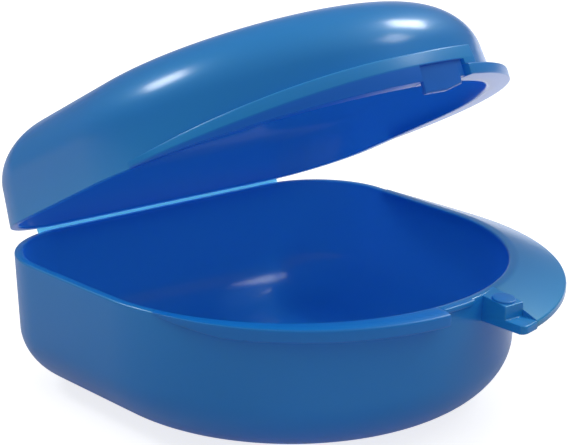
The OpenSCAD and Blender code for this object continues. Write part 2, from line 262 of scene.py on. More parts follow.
@dataclass(frozen=True)
class Rim:
    """D-shaped edge that the tray and the lid share, at height 0.

    Attributes:
        width: Width over both sides.
        length: Length from the straight back to the front.
        corner_radius: Radius of the two back corners.
        side_taper: How far each side draws in towards the round front.
        corner_steps: Segments of a back corner.
        half_front_steps: Segments of half the front arc.
    """

    width: float
    length: float
    corner_radius: float = 14.8
    side_taper: float = 0.7
    corner_steps: int = 28
    half_front_steps: int = 56

    @property
    def front_radius(self) -> float:
        """Radius of the front arc."""
        return self.width / 2 - self.side_taper

    @property
    def front_centre(self) -> Vector:
        """Centre of the front arc."""
        return Vector((0, self.front_radius - self.length / 2, 0))

    @property
    def corner_centre(self) -> Vector:
        """Centre of the right back corner."""
        return Vector((self.width / 2 - self.corner_radius, self.length / 2 - self.corner_radius, 0))

    @property
    def side_angle(self) -> float:
        """Direction of the right side's outward normal.

        Returns:
            The angle in radians.
        """
        step = self.corner_centre - self.front_centre
        lean = math.acos((self.front_radius - self.corner_radius) / step.length)
        return math.atan2(step.y, step.x) - lean

    def angle_at(self, x: float) -> float:
        """Angle on the front arc at a distance x from the middle."""
        return -math.acos(x / self.front_radius)

    def angle_of(self, point: Vector) -> float:
        """Angle at which a point lies round the centre of the front arc."""
        return math.atan2(point.y - self.front_centre.y, point.x)

    def on_arc(self, angle: float) -> Station:
        """Station on the front arc, square to the rim."""
        out = Vector((math.cos(angle), math.sin(angle), 0))
        return Station(self.front_centre + out * self.front_radius, out)

    def on_side(self, share: float) -> Station:
        """Station on the right side.

        Args:
            share: Share of the way from the front arc to the corner.

        Returns:
            The station, square to the rim.
        """
        out = Vector((math.cos(self.side_angle), math.sin(self.side_angle), 0))
        first = self.front_centre + out * self.front_radius
        last = self.corner_centre + out * self.corner_radius
        return Station(first.lerp(last, share), out)

    def arc(self, first: float, last: float, steps: int) -> list[Station]:
        """Stations from one angle of the front arc to another, both ends included."""
        return [self.on_arc(first + (last - first) * i / steps) for i in range(steps + 1)]

    def between(self, left: float, right: float, steps: int) -> list[Station]:
        """Stations along the front arc between two distances from the middle."""
        return self.arc(self.angle_at(left), self.angle_at(right), steps)

    def side_run(self, edge: Circle) -> list[Station]:
        """Stations along the right side, up to where a band inside an edge runs out."""
        last = run_out(lambda share: self.on_side(share).reach(edge) > RUN_OUT, 0.0, 1.0)
        return [self.on_side(last * (k + 1) / SIDE_STEPS) for k in range(SIDE_STEPS)]

    def face(self, bm: BMesh) -> BMFace:
        """Fills the outline with one face.

        Args:
            bm: Mesh to draw in.

        Returns:
            The face, which looks down.
        """
        back = bm.verts.new((0, self.length / 2, 0))
        corner = self._line_to(bm, back, self.corner_centre + Vector((0, self.corner_radius, 0)))
        turn = math.pi / 2 - self.side_angle
        side = self._turn(bm, corner, self.corner_centre, turn, self.corner_steps)
        front = self._line_to(bm, side, self.on_side(0).foot)
        turn = math.pi / 2 + self.side_angle
        self._turn(bm, front, self.front_centre, turn, self.half_front_steps)
        bmesh.ops.mirror(bm, geom=bm.verts[:] + bm.edges[:], axis="X", merge_dist=TOUCH)
        bmesh.ops.remove_doubles(bm, verts=bm.verts[:], dist=TOUCH)
        return bmesh.ops.contextual_create(bm, geom=bm.edges[:])["faces"][0]

    @staticmethod
    def _line_to(bm: BMesh, vert: BMVert, point: Vector) -> BMVert:
        """Draws a straight stretch of the outline.

        Args:
            bm: Mesh to draw in.
            vert: Where the stretch begins.
            point: Where it ends.

        Returns:
            The vertex at its end.
        """
        end = bmesh.ops.extrude_vert_indiv(bm, verts=[vert])["verts"][0]
        end.co = point
        return end

    @staticmethod
    def _turn(bm: BMesh, vert: BMVert, centre: Vector, angle: float, steps: int) -> BMVert:
        """Draws a clockwise arc of the outline.

        Args:
            bm: Mesh to draw in.
            vert: Where the arc begins.
            centre: Its centre.
            angle: Its angle, in radians.
            steps: Its segments.

        Returns:
            The vertex at its end.
        """
        spun = bmesh.ops.spin(
            bm, geom=[vert], cent=centre, axis=UP, angle=-angle, steps=steps, use_merge=False
        )
        return of_kind(spun["geom_last"], BMVert)[0]


# Shaping helpers


def loft(rings: Sequence[Sequence[Vector]]) -> tuple[BMesh, BMFace, BMFace]:
    """Extrudes a closed section from ring to ring.

    Args:
        rings: Rings of equally many points.

    Returns:
        The mesh, its first end and its last end.
    """
    bm = bmesh.new()
    ring = [bm.verts.new(point) for point in rings[0]]
    first = last = bm.faces.new(ring)
    for points in rings[1:]:
        grown = bmesh.ops.extrude_face_region(bm, geom=[last, *last.edges])["geom"]
        fresh = set(of_kind(grown, BMVert))
        last = of_kind(grown, BMFace)[0]
        ring = [
            next(edge.other_vert(vert) for edge in vert.link_edges if edge.other_vert(vert) in fresh)
            for vert in ring
        ]
        for vert, point in zip(ring, points):
            vert.co = point
    bmesh.ops.recalc_face_normals(bm, faces=bm.faces[:])
    return bm, first, last


def band(
    stations: Sequence[Station], section: Callable[[Station], list[Corner]]
) -> tuple[BMesh, BMFace, BMFace]:
    """Lofts a rounded section along the rim and returns what loft does."""
    return loft([place.ring(section(place)) for place in stations])


def round_end(bm: BMesh, face: BMFace, radius: float, steps: int = 3) -> None:
    """Rounds off a flat end by insetting it and moving it on.

    Args:
        bm: Mesh of the piece.
        face: The flat end.
        radius: Radius of the rounding.
        steps: Segments of the rounding.
    """
    face.normal_update()
    ahead = face.normal.copy()
    for k in range(steps):
        a, b = (math.pi / 2 * step / steps for step in (k, k + 1))
        bmesh.ops.inset_region(
            bm,
            faces=[face],
            thickness=radius * (math.cos(a) - math.cos(b)),
            use_even_offset=True,
            use_boundary=True,
        )
        bmesh.ops.translate(bm, verts=face.verts[:], vec=ahead * radius * (math.sin(b) - math.sin(a)))


def mix(a: float, b: float, share: float) -> float:
    """Value between a and b."""
    return a + (b - a) * share


def as_mesh(name: str, bm: BMesh, material: bpy.types.Material) -> bpy.types.Mesh:
    """Stores a finished shape and frees it.

    Args:
        name: Name of the mesh.
        bm: The shape.
        material: Its material.

    Returns:
        The mesh.
    """
    mesh = bpy.data.meshes.new(name)
    bm.to_mesh(mesh)
    bm.free()
    mesh.materials.append(material)
    return mesh


def show(name: str, data: bpy.types.ID) -> bpy.types.Object:
    """Makes an object and links it to the scene.

    Args:
        name: Name of the object.
        data: Its mesh, lamp or camera.

    Returns:
        The object.
    """
    made = bpy.data.objects.new(name, data)
    bpy.context.scene.collection.objects.link(made)
    return made


# Finishes


@dataclass(frozen=True)
class Glow:
    """Brighter part of the surroundings.

    Attributes:
        side: Direction of its brightest point.
        strength: How much it adds there.
        narrow: Power that narrows it.
    """

    side: Direction
    strength: float
    narrow: float = 1.0


@dataclass(frozen=True)
class Wiring:
    """Adds nodes to a shader tree and links them.

    Attributes:
        tree: The tree.
    """

    tree: bpy.types.NodeTree

    def fill(self, node: bpy.types.Node, inputs: Inputs) -> None:
        """Sets or links inputs of a node.

        Args:
            node: The node.
            inputs: The value of each input, or the socket that it is linked to.
        """
        for key, value in inputs.items():
            if isinstance(value, bpy.types.NodeSocket):
                self.tree.links.new(value, node.inputs[key])
            else:
                node.inputs[key].default_value = value

    def add(self, kind: str, inputs: Inputs | None = None, **settings: object) -> bpy.types.Node:
        """Adds a node.

        Args:
            kind: Its type, without the prefix of all shader nodes.
            inputs: The value of each input, or the socket that it is linked to.
            **settings: Its settings, which are made first.

        Returns:
            The node.
        """
        node = self.tree.nodes.new(f"ShaderNode{kind}")
        for name, setting in settings.items():
            setattr(node, name, setting)
        self.fill(node, inputs or {})
        return node

    def glow(self, part: Glow, base: Value) -> bpy.types.NodeSocket:
        """Adds a brighter part of the surroundings to an even level.

        Args:
            part: The brighter part.
            base: The even level, or the socket that gives it.

        Returns:
            The socket that gives the sum.
        """
        place = self.add("TexCoord")
        away = self.add("VectorMath", {0: place.outputs["Object"]}, operation="NORMALIZE")
        facing = self.add("VectorMath", {0: away.outputs["Vector"], 1: part.side}, operation="DOT_PRODUCT")
        lit = self.add("Math", {0: facing.outputs["Value"], 1: 0.0}, operation="MAXIMUM")
        fade = self.add("Math", {0: lit.outputs["Value"], 1: part.narrow}, operation="POWER")
        inputs = {0: fade.outputs["Value"], 1: part.strength, 2: base}
        return self.add("Math", inputs, operation="MULTIPLY_ADD").outputs["Value"]

    def by_ray(self, level: Value, others: Mapping[Ray, Value]) -> bpy.types.NodeSocket:
        """Gives some kinds of ray another level.

        Args:
            level: The level for all other rays.
            others: The level for each of those kinds. A later kind overrules an earlier one.

        Returns:
            The socket that gives the level.
        """
        for ray, there in others.items():
            path = self.add("LightPath")
            choice = self.add("Mix", {"Factor": path.outputs[ray.value], "A": level, "B": there})
            level = choice.outputs["Result"]
        return level


class NodeKit:
    """Shader node groups that the finishes share."""

    def __init__(self) -> None:
        """Builds each group once."""
        self.tint = self._pearl_tint_and_glow()
        self.skin = self._mould_skin()

    @staticmethod
    def _group(name: str, inputs: dict[str, str], outputs: dict[str, str]) -> bpy.types.NodeTree:
        """Makes an empty group.

        Args:
            name: Name of the group.
            inputs: Socket type of each input.
            outputs: Socket type of each output.

        Returns:
            The node tree, with its input and output nodes.
        """
        tree = bpy.data.node_groups.new(name, "ShaderNodeTree")
        for side, sockets in (("INPUT", inputs), ("OUTPUT", outputs)):
            for label, kind in sockets.items():
                tree.interface.new_socket(name=label, in_out=side, socket_type=f"NodeSocket{kind}")
        tree.nodes.new("NodeGroupInput")
        tree.nodes.new("NodeGroupOutput")
        return tree

    def _pearl_tint_and_glow(self) -> bpy.types.NodeTree:
        """Colour of a pearly moulding: slow flow clouds, and a painted paler tone, read from a vertex
        attribute, that stands for light coming through thin edges.

        Returns:
            The group.
        """
        tree = self._group(
            "pearl_tint_and_glow",
            {"Vector": "Vector", "Body": "Color", "Pearl": "Color", "Thin Wall Glow": "Color", "Flow": "Float"},
            {"Colour": "Color"},
        )
        wiring = Wiring(tree)
        given = tree.nodes["Group Input"].outputs
        cloud = wiring.add(
            "TexNoise", {"Vector": given["Vector"], "Scale": 38.0, "Detail": 3.0, "Distortion": 1.2}
        )
        spread = wiring.add("MapRange", {"Value": cloud.outputs["Fac"], "From Min": 0.3, "From Max": 0.7})
        flow = wiring.add("Math", {0: spread.outputs["Result"], 1: given["Flow"]}, operation="MULTIPLY")
        pearl = wiring.add(
            "Mix",
            {"Factor": flow.outputs["Value"], "A": given["Body"], "B": given["Pearl"]},
            data_type="RGBA",
        )
        # A paler colour is painted where the attribute is high: painted glow of light coming through the
        # wall
        thin = wiring.add("Attribute", attribute_name=PAINTED_GLOW)
        edge = wiring.add(
            "Mix",
            {"Factor": thin.outputs["Fac"], "A": pearl.outputs["Result"], "B": given["Thin Wall Glow"]},
            data_type="RGBA",
        )
        wiring.fill(tree.nodes["Group Output"], {"Colour": edge.outputs["Result"]})
        return tree

    def _mould_skin(self) -> bpy.types.NodeTree:
        """Skin off a polished mould: an uneven satin, and a fine waviness.

        Returns:
            The group.
        """
        tree = self._group(
            "mould_skin",
            {"Vector": "Vector", "Satin": "Float", "Unevenness": "Float"},
            {"Roughness": "Float", "Height": "Float"},
        )
        wiring = Wiring(tree)
        given = tree.nodes["Group Input"].outputs
        patch = wiring.add("TexNoise", {"Vector": given["Vector"], "Scale": 130.0, "Detail": 4.0})
        uneven = wiring.add(
            "Math",
            {0: patch.outputs["Fac"], 1: given["Unevenness"], 2: given["Satin"]},
            operation="MULTIPLY_ADD",
        )
        grain = wiring.add("TexNoise", {"Vector": given["Vector"], "Scale": 420.0, "Detail": 2.0})
        skin = {"Roughness": uneven.outputs["Value"], "Height": grain.outputs["Fac"]}
        wiring.fill(tree.nodes["Group Output"], skin)
        return tree


@dataclass(frozen=True)
class Moulding:
    """Finish of glossy, slightly pearly polypropylene.

    Attributes:
        name: Name of the material.
        slot: The record's slot that it dresses; not used.
        body: Colour of a full wall, linear.
        pearl: Colour of the paler flow clouds.
        thin_wall_glow: Painted colour that stands for light coming through a thin edge.
        flow: Strength of the clouds, from 0 to 1.
        gloss: Roughness of the clear skin.
        unevenness: How much the pearl's roughness rises in patches.
        wave: Depth of the skin's waviness, in metres.
        through: Share of each colour of light that comes through a wall.
        index: Index of refraction, raised by the pearl pigment.
        satin: Lowest roughness of the pearl pigment under the skin.
        sheen: Colour of the pearl pigment's sheen.
        clear: Strength of the clear skin.
    """

    name: str
    slot: Slot
    body: Colour
    pearl: Colour
    thin_wall_glow: Colour
    flow: float = 0.35
    gloss: float = 0.2
    unevenness: float = 0.08
    wave: float = 0.000012
    through: Colour = (0.07, 0.205, 0.4)
    index: float = 1.66
    satin: float = 0.42
    sheen: Colour = (0.12, 0.7, 1.0)
    clear: float = 1.0

    def material(self, kit: NodeKit) -> bpy.types.Material:
        """The material, made on its first use.

        Args:
            kit: The shared node groups.

        Returns:
            The finished material.
        """
        made = bpy.data.materials.get(self.name)
        if made:
            return made
        made = bpy.data.materials.new(self.name)
        made.use_nodes = True
        wiring = Wiring(made.node_tree)
        place = wiring.add("TexCoord").outputs["Object"]
        tones = {
            "Vector": place,
            "Body": (*self.body, 1),
            "Pearl": (*self.pearl, 1),
            "Thin Wall Glow": (*self.thin_wall_glow, 1),
            "Flow": self.flow,
        }
        tint = wiring.add("Group", tones, node_tree=kit.tint)
        satin = {"Vector": place, "Satin": self.satin, "Unevenness": self.unevenness}
        skin = wiring.add("Group", satin, node_tree=kit.skin)
        waves = {"Strength": 1.0, "Distance": self.wave, "Height": skin.outputs["Height"]}
        shader = made.node_tree.nodes["Principled BSDF"]
        wiring.fill(
            shader,
            {
                "IOR": self.index,
                "Specular Tint": (*self.sheen, 1),
                "Coat Weight": self.clear,
                "Coat Roughness": self.gloss,
                "Base Color": tint.outputs["Colour"],
                "Roughness": skin.outputs["Roughness"],
                "Normal": wiring.add("Bump", waves).outputs["Normal"],
            },
        )
        passed = wiring.add("BsdfTranslucent", {"Color": (*self.through, 1)})
        both = wiring.add("AddShader", {0: shader.outputs["BSDF"], 1: passed.outputs["BSDF"]})
        wiring.fill(made.node_tree.nodes["Material Output"], {"Surface": both.outputs["Shader"]})
        return made


# Less light comes through the solid flange and rim pieces than through a wall
WALL_BLUE = Moulding(
    "moulded_wall_blue",
    Slot.SHELL,
    body=(0.01, 0.212, 0.435),
    pearl=(0.014, 0.23, 0.46),
    thin_wall_glow=(0.02, 0.31, 0.55),
)
# The rim pieces' body colour is a darker, more saturated copy of the wall's: painted shade, for the lips'
# lower faces and the hook
RIM_BLUE_SHADED = Moulding(
    "moulded_rim_blue_shaded",
    Slot.RIM,
    body=(0.003, 0.135, 0.53),
    pearl=(0.004, 0.145, 0.54),
    thin_wall_glow=(0.008, 0.265, 0.54),
    gloss=0.3,
    through=(0.06, 0.168, 0.345),
    index=1.47,
)
FLANGE_BLUE = replace(WALL_BLUE, name="moulded_flange_blue", through=(0.06, 0.165, 0.34))
# The film's pale body colour is painted glow: it stands for light coming through the thin film
FILM_BLUE_GLOWING = Moulding(
    "hinge_film_glowing_blue",
    Slot.FILM,
    body=(0.16, 0.42, 0.55),
    pearl=(0.17, 0.43, 0.56),
    thin_wall_glow=(0.18, 0.44, 0.57),
    gloss=0.26,
    through=(0.34, 0.58, 0.62),
)


@dataclass(frozen=True)
class PaintedGlowFade:
    """Painted paler tone at an edge, standing for light that comes through it, and how that fades.

    Attributes:
        edge: Strength of that tone at the edge, from 0 to 1.
        fade: Distance over which it falls by 1.
    """

    edge: float
    fade: float

    def at(self, depth: float) -> float:
        """Strength of the tone at a distance from the edge."""
        return self.edge - depth / self.fade


def even(thinness: float) -> PaintedGlowAt:
    """The same strength of painted paler tone all over a piece."""
    return lambda point: thinness


# Pieces


@dataclass
class Piece:
    """One visible piece of the moulding.

    Attributes:
        name: Name of its object.
        node: Name of the CAD node that it stands for.
        mesh: Its mesh, in millimetres.
        finish: Its finish.
        thin: Strength of the painted paler tone at a point, from 0 to 1; it stands for light coming through
            the wall and light on lit faces, and where it is low the darker body colour is painted shade.
    """

    name: str
    node: str
    mesh: BMesh
    finish: Moulding
    thin: PaintedGlowAt

    def lift(self, height: float) -> "Piece":
        """Moves the piece up to a rim and returns it."""
        bmesh.ops.translate(self.mesh, verts=self.mesh.verts[:], vec=UP * height)
        return self

    def place(self, kit: NodeKit, to_rest: Matrix) -> bpy.types.Object:
        """Turns the mesh into an object in the shared frame.

        Args:
            kit: The shared node groups.
            to_rest: Turns the shut place into the place at rest.

        Returns:
            The object, at the origin and with its place in its mesh.
        """
        bm = self.mesh
        bmesh.ops.recalc_face_normals(bm, faces=bm.faces[:])
        layer = bm.verts.layers.float.new(PAINTED_GLOW)
        for vert in bm.verts:
            vert[layer] = min(max(self.thin(vert.co), 0.0), 1.0)
        bmesh.ops.transform(bm, matrix=Matrix.Scale(MM, 4) @ to_rest, verts=bm.verts[:])
        mesh = as_mesh(self.name, bm, self.finish.material(kit))
        mesh.shade_smooth()
        mesh.set_sharp_from_angle(angle=SMOOTH_ANGLE)
        made = show(self.name, mesh)
        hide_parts(self.node)
        LOG.info("%s stands for %s, %d faces", self.name, self.node, len(mesh.polygons))
        return made


@dataclass(frozen=True)
class Cup:
    """Open D-shaped shell, its rim at height 0 and its closed end below.

    Attributes:
        height: Height from the closed end to the rim.
        draft: Draft angle of the wall, in degrees.
        edge_width: Width of the elliptic round at the closed end.
        edge_height: Height of that round.
        end: Thickness of the closed end.
        wall: Thickness of the wall.
        outer_lip: Rounding of the rim's outer edge.
        inner_lip: Rounding of the rim's inner edge.
        round_steps: Segments of the elliptic round.
        lip_steps: Segments of a rounded rim edge.
    """

    height: float
    draft: float
    edge_width: float
    edge_height: float
    end: float = 1.5
    wall: float = 1.5
    outer_lip: float = 0.35
    inner_lip: float = 0.4
    round_steps: int = 24
    lip_steps: int = 4

    @property
    def slope(self) -> float:
        """Distance that the wall draws in for each millimetre of height."""
        return math.tan(math.radians(self.draft))

    @property
    def foot(self) -> float:
        """Height at which the straight wall meets the round."""
        return self.edge_height - self.height

    def mesh(self, rim: Rim) -> BMesh:
        """Draws both walls in from the rim.

        Args:
            rim: The rim's outline.

        Returns:
            The closed shell.
        """
        bm = bmesh.new()
        inner = rim.face(bm)
        outer = of_kind(bmesh.ops.extrude_face_region(bm, geom=[inner])["geom"], BMFace)[0]
        for face in (outer, inner):
            bmesh.ops.translate(bm, verts=face.verts[:], vec=-UP * self.outer_lip)
        bmesh.ops.translate(bm, verts=inner.verts[:], vec=UP * TOUCH)
        self._draw(bm, outer, self._outer_profile())
        self._draw(bm, inner, self._inner_profile())
        bmesh.ops.remove_doubles(bm, verts=bm.verts[:], dist=WELD)
        bmesh.ops.recalc_face_normals(bm, faces=bm.faces[:])
        return bm

    def _draw(self, bm: BMesh, face: BMFace, profile: Sequence[Point]) -> None:
        """Draws a face along a profile, from just below the rounded rim.

        Args:
            bm: Mesh of the shell.
            face: The face that closes the wall.
            profile: Inset and height of each step.
        """
        done, level = 0.0, -self.outer_lip
        for inset, height in profile:
            bmesh.ops.inset_region(
                bm, faces=[face], thickness=inset - done, use_even_offset=True, use_boundary=True
            )
            bmesh.ops.translate(bm, verts=face.verts[:], vec=UP * (height - level))
            done, level = inset, height

    def _round(self, inset: float, width: float, low: float) -> list[Point]:
        """Quarter ellipse from the straight wall to a level end.

        Args:
            inset: Inset of the wall where it begins.
            width: Its width.
            low: Height of the level end.

        Returns:
            Inset and height of each step.
        """
        steps = [math.pi / 2 * k / self.round_steps for k in range(self.round_steps + 1)]
        return [
            (inset + width * (1 - math.cos(t)), self.foot - (self.foot - low) * math.sin(t)) for t in steps
        ]

    def _outer_profile(self) -> list[Point]:
        """Drafted outer wall and its round."""
        return self._round(-self.foot * self.slope, self.edge_width, -self.height)

    def _inner_profile(self) -> list[Point]:
        """Rounded rim, drafted inner wall and its round.

        Returns:
            Inset and height of each step.
        """
        quarter = [math.pi / 2 * k / self.lip_steps for k in range(self.lip_steps + 1)]
        lip = [
            (self.outer_lip * (1 - math.cos(t)), self.outer_lip * (math.sin(t) - 1)) for t in quarter[1:]
        ]
        lip += [
            (self.wall - self.inner_lip * (1 - math.sin(t)), self.inner_lip * (math.cos(t) - 1))
            for t in quarter
        ]
        drawn_in = self.wall - self.foot * self.slope
        return lip + self._round(drawn_in, self.edge_width - self.wall, self.end - self.height)


@dataclass(frozen=True)
class Latch:
    """Places along the front that the tray and the lid share.

    Attributes:
        left: Where the lid's lip is cut.
        tray_lip_end: Where the tray's lip ends.
        block: Left face of the tray's block.
        block_end: Right face of the block.
        bead_length: Length of the catch bead.
        bead_out: How far the bead stands out.
        bead_height: Height of the bead.
        gap: Clearance between bead and hook when shut.
        hook_side: Clearance on each side of the hook.
        notch_end: Right end of the notch in the lid's lip.
        notch_draft: Length over which that notch begins and ends.
        lid_lip_end: Right end of the lid's lip.
    """

    left: float = -1.0
    tray_lip_end: float = -1.5
    block: float = 7.8
    block_end: float = 11.6
    bead_length: float = 6.8
    bead_out: float = 0.5
    bead_height: float = 0.9
    gap: float = 0.15
    hook_side: float = 0.3
    notch_end: float = 8.9
    notch_draft: float = 0.15
    lid_lip_end: float = 11.9


@dataclass(frozen=True)
class LipArc:
    """Outer arc of the two rim lips.

    Attributes:
        forward: How far its centre lies in front of the rim's own arc centre.
        smaller: How much smaller its radius is than the rim's.
        least: Width at which a lip runs out.
    """

    forward: float = 2.8
    smaller: float = 0.7
    least: float = 0.03

    def edge(self, rim: Rim) -> Circle:
        """Outer edge of both lips."""
        return Circle(rim.front_centre + FRONT * self.forward, rim.front_radius - self.smaller)

    def width(self, rim: Rim, place: Station) -> float:
        """Width of a lip at a station."""
        return max(place.reach(self.edge(rim)), self.least)

    def share(self, rim: Rim, place: Station) -> float:
        """Width as a share of the greatest one."""
        return min(self.width(rim, place) / (self.forward - self.smaller), 1.0)

    def tip(self, rim: Rim) -> float:
        """Angle at which the lips run out on the left."""
        edge = self.edge(rim)
        return run_out(lambda angle: rim.on_arc(angle).reach(edge) > self.least, -math.pi / 2, -math.pi)


@dataclass(frozen=True)
class Tray:
    """The deep half of the case and what is moulded on it.

    Attributes:
        rim: Shared outline.
        rim_z: Height of the rim.
        latch: Shared places of the latch.
        lip: Outer arc of the lip.
        end_round: Rounding of the lip's and the block's blunt ends.
        shell_rim_glow: Painted paler tone on the wall at the rim, standing for light coming through it, and
            how it fades downwards.
        flange_forward: How far forward the thumb flange's outer arc is centred.
        flange_larger: How much larger that arc is than the rim's.
        flange_fall: Fall of its top for each millimetre outwards.
        flange_thickness: Thickness of the flange.
        flange_blunt: Rounding of its outer edge, as a share of its thickness.
        flange_bend: Radius with which its top leaves the rim.
        flange_fan: Angle over which the flange turns from straight out to square, in radians.
        flange_edge_glow: Painted paler tone at the flange's outer edge, standing for light coming through
            it, and how it fades inwards.
        lip_height: Height of the rim lip.
        lip_fall: Fall of the lip's top at its outer edge.
        lip_rise: How fast the lip gains its height with its width.
        lip_bend: Radius with which the lip's top leaves the rim.
        lip_crown: Radius of the crown of its top.
        lip_round: Rounding of its outer edges.
        block_out: How far the block reaches out, at its left face.
        block_drop: Depth of the block's top below the rim.
        block_round: Plan radius of the shelf's blunt corner.
        block_edge: Rounding of the block's upper edge.
        block_foot: Rounding between the block and the shelf.
        shelf_edge: Rounding of the shelf's outer edges.
        block_steps: Segments of the block.
        block_crowding: Power that crowds them towards the blunt corner.
        pip_edge: Distance of the pip from the block's sides.
        pip_back: Distance of the pip from the block's front.
        pip_height: Height of the pip.
        pip_sunk: Depth of the pip in the block.
        pip_round: Rounding of the pip's edge.
        pip_steps: Segments of the pip.
        bead_root: Depth of the bead's top in the wall.
        bead_low: Height of the bead's nose, as a share of the bead's.
        bead_nose: Rounding of the nose's upper edge.
        bead_under: Rounding of its lower edge.
        bead_end: Rounding of the bead's ends.
        bead_steps: Segments of the bead.
    """

    rim: Rim
    rim_z: float
    latch: Latch = Latch()
    lip: LipArc = LipArc()
    end_round: float = 0.15
    shell_rim_glow: PaintedGlowFade = PaintedGlowFade(0.2, fade=2.0)
    flange_forward: float = 2.8
    flange_larger: float = 5.72
    flange_fall: float = 0.33
    flange_thickness: float = 1.4
    flange_blunt: float = 0.35
    flange_bend: float = 3.0
    flange_fan: float = math.radians(35.2)
    flange_edge_glow: PaintedGlowFade = PaintedGlowFade(0.6, fade=2.0)
    lip_height: float = 2.2
    lip_fall: float = 0.3
    lip_rise: float = 2.5
    lip_bend: float = 0.3
    lip_crown: float = 0.6
    lip_round: float = 0.4
    block_out: float = 4.7
    block_drop: float = 0.75
    block_round: float = 1.2
    block_edge: float = 0.22
    block_foot: float = 0.25
    shelf_edge: float = 0.35
    block_steps: int = 24
    block_crowding: float = 1.8
    pip_edge: float = 0.1
    pip_back: float = 0.4
    pip_height: float = 0.3
    pip_sunk: float = 0.2
    pip_round: float = 0.16
    pip_steps: int = 64
    bead_root: float = 0.35
    bead_low: float = 0.8
    bead_nose: float = 0.28
    bead_under: float = 0.2
    bead_end: float = 0.12
    bead_steps: int = 24

    def pieces(self) -> list[Piece]:
        """All pieces of the tray, lifted to its rim."""
        made = [self.shell(), self.thumb_flange(), self.rim_lip(), self.block(), self.pip(), self.bead()]
        return [piece.lift(self.rim_z) for piece in made]

    def shell(self) -> Piece:
        """The tray itself."""
        bm = Cup(self.rim_z, draft=1.85, edge_width=14.2, edge_height=10.5).mesh(self.rim)
        return Piece(
            "tray", "base_shell", bm, WALL_BLUE, lambda point: self.shell_rim_glow.at(self.rim_z - point.z)
        )

    def _flange_edge(self) -> Circle:
        """Outer edge of the thumb flange."""
        centre = self.rim.front_centre + FRONT * self.flange_forward
        return Circle(centre, self.rim.front_radius + self.flange_larger)

    def _flange_reach(self, place: Station) -> float:
        """Width of the thumb flange along a station's heading."""
        return max(place.reach(self._flange_edge()), LEAST)

    def _flange_section(self, place: Station) -> list[Corner]:
        """Sloped plate with a blunt outer edge, which begins at the rim's inner edge.

        Args:
            place: Where the section stands.

        Returns:
            Its corners.
        """
        width = self._flange_reach(place)
        edge = min(self.flange_thickness * self.flange_blunt, width / 2)
        drop = self.flange_fall * width
        return [
            Corner(-SUNK, -self.flange_thickness),
            Corner(-RIM_TOP, COVER),
            Corner(0.0, 0.0, self.flange_bend),
            Corner(width, -drop, edge),
            Corner(width, -drop - self.flange_thickness, edge),
        ]

    def thumb_flange(self) -> Piece:
        """Crescent on the right half of the front.

        Returns:
            The piece.
        """
        start = self.rim.angle_at(self.latch.block_end)
        stations = []
        for place in self.rim.arc(start, self.rim.side_angle, ARC_STEPS):
            angle = math.atan2(place.heading.y, place.heading.x)
            turn = min((angle - start) / self.flange_fan, 1.0)
            stations.append(place.facing(FRONT.lerp(place.heading, turn)))
        edge = self._flange_edge()
        bm, _, _ = band(stations + self.rim.side_run(edge), self._flange_section)
        return Piece(
            "tray_thumb_flange",
            "base_thumb_flange",
            bm,
            FLANGE_BLUE,
            lambda point: self.flange_edge_glow.at(edge.radius - (point.xy - edge.centre.xy).length),
        )

    def _lip_section(self, place: Station) -> list[Corner]:
        """Narrow ledge whose top falls a little outwards.

        Args:
            place: Where the section stands.

        Returns:
            Its corners.
        """
        width = self.lip.width(self.rim, place)
        share = self.lip.share(self.rim, place)
        low = -mix(self.lip_fall, self.lip_height, min(self.lip_rise * share, 1.0))
        edge = min(self.lip_round, width / 2)
        return [
            Corner(-SUNK, low),
            Corner(-RIM_TOP, COVER),
            Corner(0.0, 0.0, self.lip_bend),
            Corner(width / 2, -self.lip_fall * share / 4, self.lip_crown),
            Corner(width, -self.lip_fall * share, edge),
            Corner(width, low, edge),
        ]

    def rim_lip(self) -> Piece:
        """Ledge on the left half of the front, cut off blunt at the latch.

        Returns:
            The piece.
        """
        last = self.rim.angle_at(self.latch.tray_lip_end - self.end_round)
        bm, _, end = band(self.rim.arc(self.lip.tip(self.rim), last, ARC_STEPS), self._lip_section)
        round_end(bm, end, self.end_round)
        return Piece("tray_rim_lip", "base_rim_lip", bm, RIM_BLUE_SHADED, even(0.6))

    def _block_front(self) -> float:
        """Y of the block's straight front."""
        return self.rim.on_arc(self.rim.angle_at(self.latch.block)).foot.y - self.block_out

    def _block_slope(self) -> float:
        """Rise of the block's top for each millimetre towards the wall."""
        end = self.rim.on_arc(self.rim.angle_at(self.latch.block_end)).foot.y
        return self.block_drop / (end - self._block_front())

    def _blunted(self, place: Station) -> float:
        """How far the shelf's blunt corner cuts in at a station."""
        ahead = self.block_round - min(place.foot.x - self.latch.block, self.block_round)
        return self.block_round - math.sqrt(max(self.block_round * self.block_round - ahead**2, 0.0))

    def _block_section(self, place: Station) -> list[Corner]:
        """Block with a sloped top and a straight front, on the flat shelf that ends the flange.

        Args:
            place: Where the section stands.

        Returns:
            Its corners.
        """
        full = self._flange_reach(place)
        out = place.foot.y - self._block_front()
        room = full - out - self.flange_thickness / 2
        width = full - min(self._blunted(place), room)
        shelf = -self.flange_fall * full
        low = shelf - self.flange_thickness
        return [
            Corner(-SUNK, low),
            Corner(-SUNK, self._block_slope() * (out + SUNK) - self.block_drop),
            Corner(out, -self.block_drop, self.block_edge),
            Corner(out, shelf, self.block_foot),
            Corner(width, shelf, self.shelf_edge),
            Corner(width, low, self.shelf_edge),
        ]

    def block(self) -> Piece:
        """Block beside the latch that ends the thumb flange.

        Returns:
            The piece.
        """
        first, last = self.latch.block + self.end_round, self.latch.block_end
        shares = [(k / self.block_steps) ** self.block_crowding for k in range(self.block_steps + 1)]
        angles = [self.rim.angle_at(mix(first, last, share)) for share in shares]
        bm, left, _ = band([self.rim.on_arc(angle).facing(FRONT) for angle in angles], self._block_section)
        round_end(bm, left, self.end_round)
        # A strong paler tone on the block: painted light on its faces
        return Piece("latch_stop", "latch_block", bm, RIM_BLUE_SHADED, even(0.9))

